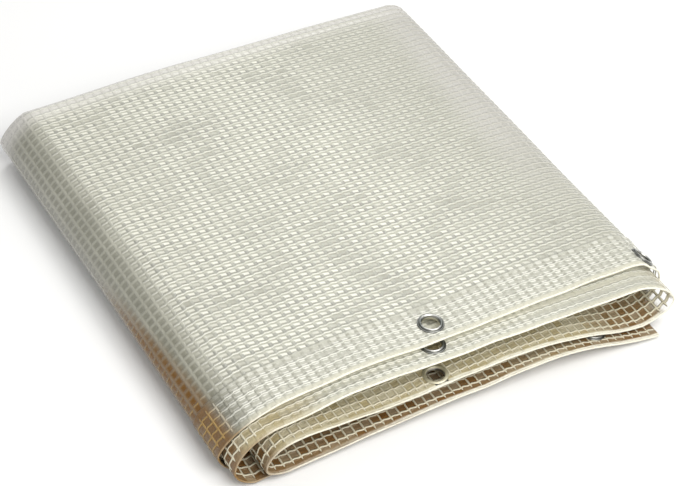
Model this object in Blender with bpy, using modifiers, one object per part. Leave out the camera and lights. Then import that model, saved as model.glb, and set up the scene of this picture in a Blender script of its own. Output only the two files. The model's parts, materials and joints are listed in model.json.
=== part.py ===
"""Folded tarp of clear film with a square net of threads, a welded hem and metal eyelets.

The tarp lies folded back and forth across its width, as six runs joined by five folds. One
section path goes through them all. It is a little different at the front, where the hems
fan out and the folds stand open, and at the back, where the runs lie in order. The cloth and
the hem strip are open surfaces lofted from the front section to the back one and thickened.

Lengths in the tables are in net cells, because the folds were laid out on the threads.
Across runs left (negative) to right, heights are above the floor, and edges are depths.
"""
import math

import bmesh
import bpy
import numpy as np
from mathutils import Matrix, Vector

# Driving dimensions in metres
CELL = 0.0086                # pitch of the net's threads
CLOTH_THICKNESS = 0.0012
HEM_THICKNESS = 0.0018       # film turned back on itself and welded
HEM_WIDTH = 5.0 * CELL
SEAM_GAP = 0.00045           # between the hem strip and the cloth
HOLE_RADIUS = 0.0080         # clear hole of an eyelet
BARREL_RADIUS = 0.0086
FLANGE_RADIUS = 0.0118
FLANGE_CLEARANCE = 0.0006    # between a flange and the hem it clamps
CUT_CLEARANCE = 0.0004       # between the barrel and the hole punched in the hem
EYELET_STEPS = 20

# Places in net cells
BACK_EDGE = 36.2
FLAT_HALF_WIDTH = 1.5        # half of the level stretch of hem under each eyelet
NARROWEST_FACET = 0.35       # next to such a stretch
RUN_SEGMENTS = 10
FOLD_SEGMENTS = 8
DEPTH_STATIONS = (0.0, 0.05, 0.12, 0.22, 0.35, 0.50, 0.66, 0.83, 1.0)

# The runs in order along the tarp, from the free corner on the right to the hidden end.
# across: start and end at the front. heights: five equal steps along the front edge.
# edge: depth of the front edge at the start, middle and end. back: height at the back edge
# at the ends of the run and at its middle.
RUNS = {
    "flap": dict(across=(25.9, -16.5), heights=(0.45, 2.00, 1.50, 1.05, 0.75),
                 edge=(-22.10, -20.80, -20.95), back=(1.9, 1.9)),
    "tongue": dict(across=(-15.8, 24.5), heights=(4.20, 3.20, 3.35, 3.20, 1.40),
                   edge=(-20.70, -20.05, -20.95), back=(3.1, 3.1)),
    "second": dict(across=(24.0, -17.0), heights=(6.10, 6.00, 5.90, 6.15, 5.20),
                   edge=(-20.20, -19.45, -19.30), back=(5.2, 5.4)),
    "under": dict(across=(-19.8, 25.0), heights=(0.38, 0.50, 0.60, 0.50, 0.32),
                  edge=(-20.40, -18.80, -17.45), back=(0.9, 0.9)),
    "top": dict(across=(24.2, -15.5), heights=(6.85, 6.75, 6.60, 6.95, 6.40),
                edge=(-17.45, -17.40, -17.60), back=(6.6, 6.9)),
    "base": dict(across=(-20.3, 19.0), heights=(0.0, 0.0, 0.0, 0.0, 0.0),
                 edge=(-17.80, -17.80, -17.80), back=(0.0, 0.0)),
}

# Each fold joins one run to the next. reach and height: its outermost point, at the front
# and at the back. slack: 1 is an ellipse, more is a fold that sags in at its shoulders. The
# first is for the front, and the second for the first half of the fold at the back.
FOLDS = {
    "flap_to_tongue": dict(side=-1, reach=(-18.9, -21.5), height=(1.8, 2.5), slack=(1.0, 1.0)),
    "tongue_to_second": dict(side=1, reach=(28.5, 28.2), height=(3.0, 4.1), slack=(1.15, 1.0)),
    "second_to_under": dict(side=-1, reach=(-21.75, -22.8), height=(1.9, 2.9),
                            slack=(1.1, 1.0)),
    "under_to_top": dict(side=1, reach=(28.9, 29.25), height=(3.2, 3.5), slack=(1.0, 1.0)),
    "top_to_base": dict(side=-1, reach=(-22.45, -23.7), height=(2.3, 3.2), slack=(1.25, 1.5)),
}
FREE_END_BACK = 25.5         # across, at the back: the flap's free side edge
HIDDEN_END_BACK = 19.0       # across, at the back: the base run's end

# The eyelets that show. leg: the run or fold that holds it. fraction: how far along that
# leg. inset: from the front edge to its middle.
EYELETS = {
    "eyelet_top": dict(leg="top", fraction=0.552, inset=2.45),
    "eyelet_second": dict(leg="second", fraction=0.554, inset=2.45),
    "eyelet_tongue": dict(leg="tongue", fraction=0.415, inset=1.60),
    "eyelet_flap": dict(leg="flap", fraction=0.155, inset=2.30),
    "eyelet_side": dict(leg="under_to_top", fraction=0.735, inset=1.80),
}

RUN_NAMES = list(RUNS)
FOLD_NAMES = list(FOLDS)
LEGS = [name for pair in zip(RUN_NAMES, FOLD_NAMES) for name in pair] + [RUN_NAMES[-1]]


def back_end(run_name, fold_name):
    """Where a run ends at the back: a fold is half as deep there as its runs are apart."""
    fold = FOLDS[fold_name]
    index = FOLD_NAMES.index(fold_name)
    lower, upper = (RUNS[RUN_NAMES[index + step]]["back"][0] for step in (0, 1))
    return fold["reach"][1] - fold["side"] * abs(upper - lower) / 2


def back_across(run_name):
    """Start and end of a run across the packet, at the back."""
    index = RUN_NAMES.index(run_name)
    start = back_end(run_name, FOLD_NAMES[index - 1]) if index else FREE_END_BACK
    last = index == len(RUN_NAMES) - 1
    end = HIDDEN_END_BACK if last else back_end(run_name, FOLD_NAMES[index])
    return start, end


def height_along(heights, fraction):
    """Cubic Hermite curve through five even heights, level at both ends."""
    slopes = np.zeros(len(heights))
    slopes[1:-1] = (np.array(heights[2:]) - np.array(heights[:-2])) / 2
    place = fraction * (len(heights) - 1)
    low = min(int(place), len(heights) - 2)
    u = place - low
    start, end = heights[low], heights[low + 1]
    ease = u * u * (3 - 2 * u)
    bend = slopes[low] * u * (1 - u) ** 2 - slopes[low + 1] * u * u * (1 - u)
    return start + (end - start) * ease + bend


def edge_along(edge, fraction):
    """Parabola through the edge's depth at the start, middle and end of a run."""
    start, middle, end = edge
    sag = middle - (start + end) / 2
    return start + (end - start) * fraction + 4 * sag * fraction * (1 - fraction)


def run_point(name, fraction):
    """Front across, height and edge, then back across and height, on one run."""
    run = RUNS[name]
    across = run["across"]
    back = back_across(name)
    return np.array([
        across[0] + (across[1] - across[0]) * fraction,
        height_along(run["heights"], fraction),
        edge_along(run["edge"], fraction),
        back[0] + (back[1] - back[0]) * fraction,
        run["back"][0] + (run["back"][1] - run["back"][0]) * math.sin(math.pi * fraction),
    ])


def quarter(end, outermost, turn, slack):
    """Point on the quarter ellipse from a run's end to a fold's outermost point."""
    across = end[0] + (outermost[0] - end[0]) * math.sin(turn) ** slack
    height = outermost[1] + (end[1] - outermost[1]) * math.cos(turn) ** slack
    return across, height


def fold_point(name, fraction):
    """The same five values on one fold: two quarter ellipses that meet at its reach."""
    fold = FOLDS[name]
    index = FOLD_NAMES.index(name)
    before = run_point(RUN_NAMES[index], 1.0)
    after = run_point(RUN_NAMES[index + 1], 0.0)
    end = before if fraction <= 0.5 else after
    turn = math.pi * min(fraction, 1 - fraction)
    front_slack, back_slack = fold["slack"][0], fold["slack"][1] if fraction <= 0.5 else 1.0
    front = quarter(end[:2], (fold["reach"][0], fold["height"][0]), turn, front_slack)
    back = quarter(end[3:], (fold["reach"][1], fold["height"][1]), turn, back_slack)
    edge = before[2] + (after[2] - before[2]) * fraction
    return np.array([front[0], front[1], edge, back[0], back[1]])


def leg_point(leg, fraction):
    """The five path values at a fraction of a leg, which is a run or a fold."""
    if leg in RUNS:
        return run_point(leg, fraction)
    return fold_point(leg, fraction)


def sheet_point(values, from_edge, half_thickness):
    """World point of the sheet's middle, a distance in metres back from its front edge.

    Across and depth go evenly from the front to the back. The height settles faster, so
    that the open folds close soon behind the front. Nothing sinks below the floor.
    """
    front_across, front_height, edge, rear_across, rear_height = values
    share = from_edge / CELL / (BACK_EDGE - edge)
    settled = 1 - (1 - share) ** 3
    across = front_across + (rear_across - front_across) * share
    height = front_height + (rear_height - front_height) * settled
    depth = edge + from_edge / CELL
    return Vector((across * CELL, depth * CELL, max(height * CELL, half_thickness)))


def share_of_leg(leg, fraction, length):
    """Share of a leg that a short length of its front edge takes up, in cells."""
    step = 0.05
    before = leg_point(leg, fraction - step)[:2]
    after = leg_point(leg, fraction + step)[:2]
    return length * 2 * step / math.dist(before, after)


def leg_stations(leg):
    """Fractions along a leg, with one straight facet of hem under each eyelet."""
    count = RUN_SEGMENTS if leg in RUNS else FOLD_SEGMENTS
    fractions = [k / count for k in range(count)]
    for place in (e["fraction"] for e in EYELETS.values() if e["leg"] == leg):
        half = share_of_leg(leg, place, FLAT_HALF_WIDTH)
        clear = share_of_leg(leg, place, FLAT_HALF_WIDTH + NARROWEST_FACET)
        kept = [f for f in fractions if abs(f - place) > clear]
        fractions = sorted(kept + [place - half, place + half])
    return fractions


def path_stations():
    """Path values at every station, from the free corner to the hidden end."""
    values = [leg_point(leg, fraction) for leg in LEGS for fraction in leg_stations(leg)]
    values.append(leg_point(LEGS[-1], 1.0))
    return values


def plan_centre():
    """Middle of the packet's plan, which becomes the origin."""
    corners = [sheet_point(v, depth, 0.0) for v in path_stations()
               for depth in (0.0, (BACK_EDGE - v[2]) * CELL)]
    across = [c.x for c in corners]
    depth = [c.y for c in corners]
    return Vector(((min(across) + max(across)) / 2, (min(depth) + max(depth)) / 2, 0.0))


def material(name, colour, roughness, metallic=0.0, alpha=1.0):
    """Principled material of one plain colour."""
    made = bpy.data.materials.new(name)
    made.use_nodes = True
    shader = made.node_tree.nodes["Principled BSDF"]
    shader.inputs["Base Color"].default_value = (*colour, 1.0)
    shader.inputs["Roughness"].default_value = roughness
    shader.inputs["Metallic"].default_value = metallic
    shader.inputs["Alpha"].default_value = alpha
    return made


def add_sheet(name, rows, thickness, finish, collection):
    """Thick sheet over a grid whose rows are lists of world points, one for each station."""
    across = len(rows[0]) - 1
    along = len(rows) - 1
    mesh = bpy.data.meshes.new(name)
    grid = bmesh.new()
    bmesh.ops.create_grid(grid, x_segments=across, y_segments=along, size=1.0)
    for vertex in grid.verts:
        column = round((vertex.co.x + 1) / 2 * across)
        row = round((vertex.co.y + 1) / 2 * along)
        vertex.co = rows[row][column]
    grid.to_mesh(mesh)
    grid.free()
    mesh.materials.append(finish)
    sheet = bpy.data.objects.new(name, mesh)
    collection.objects.link(sheet)
    solidify = sheet.modifiers.new("thickness", "SOLIDIFY")
    solidify.thickness = thickness
    solidify.offset = 0.0
    solidify.use_even_offset = True
    return sheet


def hem_rows(centre):
    """Two rows of the hem strip: its front edge and the weld line behind it."""
    half = HEM_THICKNESS / 2
    return [[sheet_point(v, depth, half) - centre for v in path_stations()]
            for depth in (0.0, HEM_WIDTH)]


def cloth_rows(centre):
    """Rows of the cloth from just behind the hem to the back edge."""
    half = CLOTH_THICKNESS / 2
    first = HEM_WIDTH + SEAM_GAP
    rows = []
    for share in DEPTH_STATIONS:
        row = []
        for values in path_stations():
            last = (BACK_EDGE - values[2]) * CELL
            row.append(sheet_point(values, first + (last - first) * share, half) - centre)
        rows.append(row)
    return rows


def eyelet_placement(leg, fraction, inset, centre):
    """Matrix that stands an eyelet square on the level stretch of hem around its hole."""
    stations = leg_stations(leg)
    before = max(f for f in stations if f < fraction)
    after = min(f for f in stations if f > fraction)
    half = HEM_THICKNESS / 2
    corners = [[sheet_point(leg_point(leg, f), depth, half) - centre
                for depth in (0.0, HEM_WIDTH)] for f in (before, after)]
    (a_front, a_rear), (b_front, b_rear) = corners
    along = ((b_front + b_rear) - (a_front + a_rear)).normalized()
    inward = ((a_rear + b_rear) - (a_front + b_front)).normalized()
    face = inward.cross(along).normalized()
    inward = along.cross(face)
    share = inset * CELL / HEM_WIDTH
    middle = ((a_front + b_front) * (1 - share) + (a_rear + b_rear) * share) / 2
    turn = Matrix((along, inward, face)).transposed().to_4x4()
    return Matrix.Translation(middle) @ turn


def add_cutter(name, placement, collection):
    """Punch for one eyelet hole, which stays clear of the runs above and below."""
    bpy.ops.mesh.primitive_cylinder_add(
        vertices=EYELET_STEPS, radius=BARREL_RADIUS + CUT_CLEARANCE, depth=3 * HEM_THICKNESS)
    cutter = bpy.context.object
    cutter.name = name
    cutter.matrix_world = placement
    cutter.hide_render = True
    cutter.display_type = "WIRE"
    for holder in cutter.users_collection:
        holder.objects.unlink(cutter)
    collection.objects.link(cutter)


def eyelet_profile():
    """Closed outline of half an eyelet: radius and height, down the outer side first."""
    seat = HEM_THICKNESS / 2 + FLANGE_CLEARANCE
    crown = seat + 0.0017
    washer = seat + 0.0008
    return [
        (HOLE_RADIUS + 0.0006, crown - 0.0002), (HOLE_RADIUS + 0.0017, crown),
        (FLANGE_RADIUS - 0.0008, seat + 0.0011), (FLANGE_RADIUS, seat + 0.0003),
        (FLANGE_RADIUS - 0.0002, seat), (BARREL_RADIUS, seat), (BARREL_RADIUS, -seat),
        (FLANGE_RADIUS - 0.0003, -seat), (FLANGE_RADIUS - 0.0005, -washer + 0.0002),
        (HOLE_RADIUS + 0.0008, -washer - 0.0002), (HOLE_RADIUS, -seat), (HOLE_RADIUS, seat),
    ]


def add_eyelets(finish, centre, parts, cutters):
    """Turned eyelets through the hem, with the punch that each needs."""
    outline = eyelet_profile()
    mesh = bpy.data.meshes.new("eyelet_profile")
    edges = [(k, (k + 1) % len(outline)) for k in range(len(outline))]
    mesh.from_pydata([(radius, 0.0, height) for radius, height in outline], edges, [])
    mesh.materials.append(finish)
    for name, place in EYELETS.items():
        placement = eyelet_placement(**place, centre=centre)
        eyelet = bpy.data.objects.new(name, mesh)
        parts.objects.link(eyelet)
        eyelet.matrix_world = placement
        turned = eyelet.modifiers.new("turned", "SCREW")
        turned.steps = EYELET_STEPS
        turned.render_steps = EYELET_STEPS
        turned.use_merge_vertices = True
        turned.merge_threshold = 0.0001
        turned.use_smooth_shade = True
        add_cutter("punch_" + name, placement, cutters)


def main():
    for thing in list(bpy.data.objects):
        bpy.data.objects.remove(thing)
    parts = bpy.data.collections.new("mesh_tarp")
    cutters = bpy.data.collections.new("cutters")
    for collection in (parts, cutters):
        bpy.context.scene.collection.children.link(collection)

    film = material("clear_film_with_net", (0.80, 0.80, 0.74), 0.32, alpha=0.9)
    welded = material("welded_hem", (0.86, 0.85, 0.79), 0.35)
    metal = material("nickel_plate", (0.62, 0.62, 0.60), 0.28, metallic=1.0)

    centre = plan_centre()
    add_sheet("tarp_cloth", cloth_rows(centre), CLOTH_THICKNESS, film, parts)
    hem = add_sheet("hem_strip", hem_rows(centre), HEM_THICKNESS, welded, parts)
    add_eyelets(metal, centre, parts, cutters)
    punched = hem.modifiers.new("eyelet_holes", "BOOLEAN")
    punched.operation = "DIFFERENCE"
    punched.operand_type = "COLLECTION"
    punched.collection = cutters
    punched.solver = "EXACT"


if __name__ == "__main__":
    main()
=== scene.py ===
import json
import math

import bpy
import numpy as np
from mathutils import Matrix, Vector

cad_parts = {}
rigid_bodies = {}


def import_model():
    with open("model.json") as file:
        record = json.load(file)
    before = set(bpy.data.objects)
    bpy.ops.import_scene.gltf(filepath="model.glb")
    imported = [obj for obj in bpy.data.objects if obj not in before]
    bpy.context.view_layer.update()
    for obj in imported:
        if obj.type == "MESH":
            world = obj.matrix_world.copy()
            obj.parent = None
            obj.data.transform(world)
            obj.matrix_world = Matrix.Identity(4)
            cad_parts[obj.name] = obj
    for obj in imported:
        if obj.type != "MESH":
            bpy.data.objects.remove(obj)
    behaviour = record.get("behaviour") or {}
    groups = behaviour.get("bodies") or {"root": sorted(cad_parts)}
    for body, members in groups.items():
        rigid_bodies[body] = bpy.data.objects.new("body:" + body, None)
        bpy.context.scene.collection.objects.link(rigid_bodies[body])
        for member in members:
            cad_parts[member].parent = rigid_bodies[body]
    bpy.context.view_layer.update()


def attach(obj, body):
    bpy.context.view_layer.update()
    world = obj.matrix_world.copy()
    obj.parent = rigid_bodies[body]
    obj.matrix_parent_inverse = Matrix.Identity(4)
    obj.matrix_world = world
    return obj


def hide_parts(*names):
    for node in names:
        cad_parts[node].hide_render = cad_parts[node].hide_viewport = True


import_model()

bl_info = {
    "name": "Folded mesh tarp",
    "version": (1, 0, 0),
    "blender": (4, 5, 0),
    "location": "3D View > Sidebar > Mesh tarp",
    "description": "Dresses the folded tarp: film, net of threads, welded hem, eyelets and stage",
    "category": "Mesh",
}

# The folded cloth
# Lengths here are in net cells, as the folds were laid out on the threads, and CELL turns
# them into metres. The packet's plan is centred on the origin by PLAN_CENTRE.
CELL = 0.0086
PLAN_CENTRE = (0.023865, 0.060631)
BACK_EDGE = 36.2
HEM_CELLS = 5.0
LOWEST = 0.0009               # nothing of the film's middle sinks below this height
LOWEST_HEM = 0.0021           # and nothing of the thicker hem's middle below this one

# across: start and end of a run at the front. heights: five equal steps along the front.
# edge: depth of the front edge at start, middle, end. back: height at the back, ends, middle.
RUNS = {
    "flap": dict(across=(25.9, -16.5), heights=(0.45, 2.00, 1.50, 1.05, 0.75),
                 edge=(-22.10, -20.80, -20.95), back=(1.9, 1.9)),
    "tongue": dict(across=(-15.8, 24.5), heights=(4.20, 3.20, 3.35, 3.20, 1.40),
                   edge=(-20.70, -20.05, -20.95), back=(3.1, 3.1)),
    "second": dict(across=(24.0, -17.0), heights=(6.10, 6.00, 5.90, 6.15, 5.20),
                   edge=(-20.20, -19.45, -19.30), back=(5.2, 5.4)),
    "under": dict(across=(-19.8, 25.0), heights=(0.38, 0.50, 0.60, 0.50, 0.32),
                  edge=(-20.40, -18.80, -17.45), back=(0.9, 0.9)),
    "top": dict(across=(24.2, -15.5), heights=(6.85, 6.75, 6.60, 6.95, 6.40),
                edge=(-17.45, -17.40, -17.60), back=(6.6, 6.9)),
    "base": dict(across=(-20.3, 19.0), heights=(0.0, 0.0, 0.0, 0.0, 0.0),
                 edge=(-17.80, -17.80, -17.80), back=(0.0, 0.0)),
}
# reach and height: a fold's outermost point at the front and at the back.
FOLDS = {
    "flap_to_tongue": dict(side=-1, reach=(-18.9, -21.5), height=(1.8, 2.5), slack=(1.0, 1.0)),
    "tongue_to_second": dict(side=1, reach=(28.5, 28.2), height=(3.0, 4.1), slack=(1.15, 1.0)),
    "second_to_under": dict(side=-1, reach=(-21.75, -22.8), height=(1.9, 2.9),
                            slack=(1.1, 1.0)),
    "under_to_top": dict(side=1, reach=(28.9, 29.25), height=(3.2, 3.5), slack=(1.0, 1.0)),
    "top_to_base": dict(side=-1, reach=(-22.45, -23.7), height=(2.3, 3.2), slack=(1.25, 1.5)),
}
FREE_END_BACK = 25.5
HIDDEN_END_BACK = 19.0
RUN_NAMES = list(RUNS)
FOLD_NAMES = list(FOLDS)
LEGS = [name for pair in zip(RUN_NAMES, FOLD_NAMES) for name in pair] + [RUN_NAMES[-1]]

EYELETS = {
    "eyelet_top": dict(leg="top", fraction=0.552, inset=2.45),
    "eyelet_second": dict(leg="second", fraction=0.554, inset=2.45),
    "eyelet_tongue": dict(leg="tongue", fraction=0.415, inset=1.60),
    "eyelet_flap": dict(leg="flap", fraction=0.155, inset=2.30),
    "eyelet_side": dict(leg="under_to_top", fraction=0.735, inset=1.80),
}
WALL = (22.4, 24.6, 34.0)     # thread numbers where the left wall begins, is full, and ends
LEVEL_HALF_WIDTH = 1.5        # half of the level stretch of hem under each eyelet
THREADS_STOP = 0.0098         # radius round an eyelet, in metres, where threads end
HEM_HOLE = 0.0092             # and that of the hole in the hem
HEM_HOLE_RIM = 0.0106         # hem inside this radius is drawn in to the hole's edge
FACES_BELOW = 0.047           # threads that run back lie on the faces below this height
FACES_FADE = 0.004            # and reach them over this much more
# Thread numbers over which the runs of the cloth change, for the finishes
WRAP_START = (-34.0, -31.0)
BASE_START = (33.0, 36.0)
SECOND_START, SECOND_END = (-131.0, -129.0), (-86.5, -85.5)

PER_LEG = 240                 # samples of the path on each run and each fold
ANCHOR_ACROSS = 4.0           # on the top run, the threads here go straight back


def height_along(heights, share):
    """Cubic Hermite curve through five evenly spaced heights, level at both ends."""
    knots = np.array(heights)
    slopes = np.zeros(len(knots))
    slopes[1:-1] = (knots[2:] - knots[:-2]) / 2
    place = share * (len(knots) - 1)
    low = np.minimum(place.astype(int), len(knots) - 2)
    u = place - low
    ease = u * u * (3 - 2 * u)
    bend = slopes[low] * u * (1 - u) ** 2 - slopes[low + 1] * u * u * (1 - u)
    return knots[low] + (knots[low + 1] - knots[low]) * ease + bend


def back_end(fold_name):
    """Where a run ends at the back: a fold is half as deep there as its runs are apart."""
    fold = FOLDS[fold_name]
    index = FOLD_NAMES.index(fold_name)
    lower, upper = (RUNS[RUN_NAMES[index + step]]["back"][0] for step in (0, 1))
    return fold["reach"][1] - fold["side"] * abs(upper - lower) / 2


def run_values(name, share):
    """Five rows for shares along a run: across, height and edge at the front, then across
    and height at the back. The edge is a parabola through its start, middle and end."""
    run, index = RUNS[name], RUN_NAMES.index(name)
    start = back_end(FOLD_NAMES[index - 1]) if index else FREE_END_BACK
    last = index == len(RUN_NAMES) - 1
    end = HIDDEN_END_BACK if last else back_end(FOLD_NAMES[index])
    first, middle, final = run["edge"]
    sag = middle - (first + final) / 2
    return np.array([
        run["across"][0] + (run["across"][1] - run["across"][0]) * share,
        height_along(run["heights"], share),
        first + (final - first) * share + 4 * sag * share * (1 - share),
        start + (end - start) * share,
        run["back"][0] + (run["back"][1] - run["back"][0]) * np.sin(np.pi * share),
    ])


def fold_values(name, share):
    """The same rows on a fold: two quarter ellipses that meet at its outermost point, with
    sine and cosine raised to its slack, which at the back is for its first half."""
    fold, index = FOLDS[name], FOLD_NAMES.index(name)
    before = run_values(RUN_NAMES[index], np.array([1.0]))
    after = run_values(RUN_NAMES[index + 1], np.array([0.0]))
    end = np.where(share <= 0.5, before, after)
    turn = np.pi * np.minimum(share, 1 - share)
    out, up = np.sin(turn), np.maximum(np.cos(turn), 0)
    reach, height = fold["reach"], fold["height"]
    slack, rear_slack = fold["slack"][0], np.where(share <= 0.5, fold["slack"][1], 1.0)
    return np.array([
        end[0] + (reach[0] - end[0]) * out ** slack,
        height[0] + (end[1] - height[0]) * up ** slack,
        before[2] + (after[2] - before[2]) * share,
        end[3] + (reach[1] - end[3]) * out ** rear_slack,
        height[1] + (end[4] - height[1]) * up ** rear_slack,
    ])


def leg_values(leg, share):
    """Path rows at shares along one leg, which is a run or a fold."""
    return run_values(leg, share) if leg in RUNS else fold_values(leg, share)


def path_table():
    """Path rows at even steps through all legs, from the free corner to the hidden end."""
    steps = np.arange(PER_LEG) / PER_LEG
    rows = [leg_values(leg, steps) for leg in LEGS]
    rows.append(leg_values(LEGS[-1], np.array([1.0])))
    return np.concatenate(rows, axis=1)


PATH = path_table()
PLACES = np.arange(PATH.shape[1]) / PER_LEG     # leg number plus the share along it


def lofted(values, deep):
    """Points of the cloth's middle, in metres: across and depth go evenly from the front
    edge to the back one, and the height settles as 1 - (1 - share) cubed."""
    across, height, edge, rear_across, rear_height = values
    share = deep / (BACK_EDGE - edge)
    settled = 1 - (1 - share) ** 3
    lowest = LOWEST + (LOWEST_HEM - LOWEST) * np.clip((8 - deep) / 2.5, 0, 1)
    return np.stack([
        (across + (rear_across - across) * share) * CELL - PLAN_CENTRE[0],
        (edge + deep) * CELL - PLAN_CENTRE[1],
        np.maximum((height + (rear_height - height) * settled) * CELL, lowest),
    ], axis=-1)


def thread_numbers(deep):
    """Distance along the cloth in cells at every path place, for one depth, counted from
    the thread that goes straight back on the top run."""
    line = lofted(PATH, deep)
    steps = np.linalg.norm(np.diff(line, axis=0), axis=1) / CELL
    along = np.concatenate([[0.0], np.cumsum(steps)])
    first = LEGS.index("top") * PER_LEG
    on_top = slice(first, first + PER_LEG)
    across = (line[on_top, 0] + PLAN_CENTRE[0]) / CELL
    anchor = np.interp(-ANCHOR_ACROSS, -across, along[on_top])
    return along - anchor


FRONT_NUMBERS = thread_numbers(np.zeros(PATH.shape[1]))
FIRST, LAST = FRONT_NUMBERS[0], FRONT_NUMBERS[-1]
EDGE = PATH[2]
OUTSIDE = tuple(np.interp((LEGS.index("under_to_top"), LEGS.index("base")),
                          PLACES, FRONT_NUMBERS).round())


def even_out(numbers):
    """Stretches the numbers at one depth so that the two side edges keep theirs, more the
    further a thread is from the middle of the top run."""
    ends = np.where(numbers < 0, FIRST / numbers[0], LAST / numbers[-1])
    far = np.abs(numbers) / np.where(numbers < 0, -numbers[0], numbers[-1])
    return numbers * (1 + (ends - 1) * np.clip(far * 3, 0, 1))


TABLE_DEPTHS = 13             # rows of the table of places, from the front to the back edge
TABLE_STEPS = 6000            # and its columns, from the first thread number to the last


def place_table():
    """Path places at even steps of the thread number, one row for each share of the depth,
    so that the threads are a cell apart at every depth."""
    even = np.linspace(FIRST, LAST, TABLE_STEPS)
    rows = [thread_numbers(part * (BACK_EDGE - EDGE))
            for part in np.linspace(0, 1, TABLE_DEPTHS)]
    return np.array([np.interp(even, even_out(row), PLACES) for row in rows])


PLACE_TABLE = place_table()


def place_of(number, deep):
    """Path place of a thread number at a depth, read between the table's entries."""
    edge = np.interp(np.interp(number, FRONT_NUMBERS, PLACES), PLACES, EDGE)
    row = np.clip(deep / (BACK_EDGE - edge), 0, 1) * (TABLE_DEPTHS - 1)
    column = np.clip((number - FIRST) / (LAST - FIRST), 0, 1) * (TABLE_STEPS - 1)
    top = np.minimum(row.astype(int), TABLE_DEPTHS - 2)
    left = np.minimum(column.astype(int), TABLE_STEPS - 2)
    down, right = row - top, column - left
    upper = PLACE_TABLE[top, left] * (1 - right) + PLACE_TABLE[top, left + 1] * right
    lower = PLACE_TABLE[top + 1, left] * (1 - right) + PLACE_TABLE[top + 1, left + 1] * right
    return upper * (1 - down) + lower * down


def values_at(place):
    """Path rows at any path places, straight between the samples."""
    return np.array([np.interp(place, PLACES, row) for row in PATH])


def deepest(number):
    """Distance in cells from the front edge to the back edge, at a thread number."""
    return BACK_EDGE - np.interp(np.interp(number, FRONT_NUMBERS, PLACES), PLACES, EDGE)


def swell(points):
    """Slow uneven waves of about a millimetre: three crossed sines of the plan, which lift
    every layer by its share of the packet's height. The last centimetre at the back turns
    down by up to 3 mm."""
    x, y, z = points[..., 0], points[..., 1], points[..., 2]
    wave = (0.9 * np.sin(21 * x + 9 * y + 0.6) + 0.7 * np.sin(34 * x - 17 * y + 2.1)
            + 0.5 * np.sin(13 * x + 37 * y + 4.0))
    turned_down = 0.0030 * np.clip((y - 0.2410) / 0.0095, 0, 1) ** 2
    lifted = points.copy()
    lifted[..., 2] = z + (0.0006 * wave - turned_down) * np.clip(z / 0.058, 0, 1)
    return lifted


def ruffle(number, deep):
    """Small uneven waves of the hem's free edge, in metres: three sines along it that die
    out within a few cells."""
    wave = (0.5 * np.sin(0.74 * number + 1.0) + 0.6 * np.sin(0.41 * number + 2.2)
            + 0.4 * np.sin(1.13 * number + 0.3))
    return 0.0006 * wave * np.exp(-deep / 2.2)


class EyeletSeat:
    """The level patch of hem that an eyelet is clamped on, from the straight facet between
    two path places either side of it."""

    def __init__(self, leg, fraction, inset):
        step = 0.05
        near = leg_values(leg, np.array([fraction - step, fraction + step]))[:2]
        cells = np.linalg.norm(near[:, 1] - near[:, 0])
        half = LEVEL_HALF_WIDTH * 2 * step / cells
        ends = leg_values(leg, np.array([fraction - half, fraction + half]))
        front = lofted(ends, np.zeros(2))
        rear = lofted(ends, np.full(2, HEM_CELLS))
        along = (front[1] + rear[1]) - (front[0] + rear[0])
        self.along = along / np.linalg.norm(along)
        inward = (rear[0] + rear[1]) - (front[0] + front[1])
        face = np.cross(inward, self.along)
        self.face = face / np.linalg.norm(face)
        self.inward = np.cross(self.along, self.face)
        share = inset / HEM_CELLS
        middle = (front * (1 - share) + rear * share).mean(axis=0)
        self.centre = swell(middle)
        place = LEGS.index(leg) + fraction
        self.number = np.interp(place, PLACES, FRONT_NUMBERS)

    def local(self, points):
        """Coordinates along the hem, inwards and off the face, from the eyelet's middle."""
        return (points - self.centre) @ np.stack([self.along, self.inward, self.face], -1)

    def world(self, local):
        return local @ np.stack([self.along, self.inward, self.face]) + self.centre

    def level(self, points, number):
        """Flattens the hem onto the eyelet's plane, and lets go between two radii."""
        local = self.local(points)
        radius = np.hypot(local[..., 0], local[..., 1]) / CELL
        ease = np.clip((2.7 - radius) / 1.2, 0, 1)
        ease = ease * ease * (3 - 2 * ease) * (np.abs(number - self.number) < 4)
        return points - (ease * local[..., 2])[..., None] * self.face


SEATS = {name: EyeletSeat(**place) for name, place in EYELETS.items()}


def cloth_point(number, deep):
    """Points of the finished cloth's middle at thread numbers and depths in cells."""
    points = swell(lofted(values_at(place_of(number, deep)), deep))
    height = points[..., 2]
    points[..., 2] = height + ruffle(number, deep) * np.clip(height / 0.012 - 0.25, 0, 1)
    for seat in SEATS.values():
        points = seat.level(points, number)
    return points


def cloth_frame(number, deep):
    """Point, unit direction along the hem, and unit normal, from central differences."""
    step = 0.04
    point = cloth_point(number, deep)
    along = cloth_point(number + step, deep) - cloth_point(number - step, deep)
    inward = cloth_point(number, deep + step) - cloth_point(number, deep - step)
    normal = np.cross(inward, along)
    along /= np.linalg.norm(along, axis=-1, keepdims=True)
    normal /= np.linalg.norm(normal, axis=-1, keepdims=True)
    return point, along, normal


def left_wall(number, deep):
    """1 on the film of the outer fold at the left, which covers its threads, and 0 on the
    top run and in the front of the hem."""
    share = np.clip((number - WALL[0]) / (WALL[1] - WALL[0]), 0, 1)
    share *= np.clip((WALL[2] - number) / 2, 0, 1)
    return share * np.clip((deep - 4.0) / 3.0, 0, 1)


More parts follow.
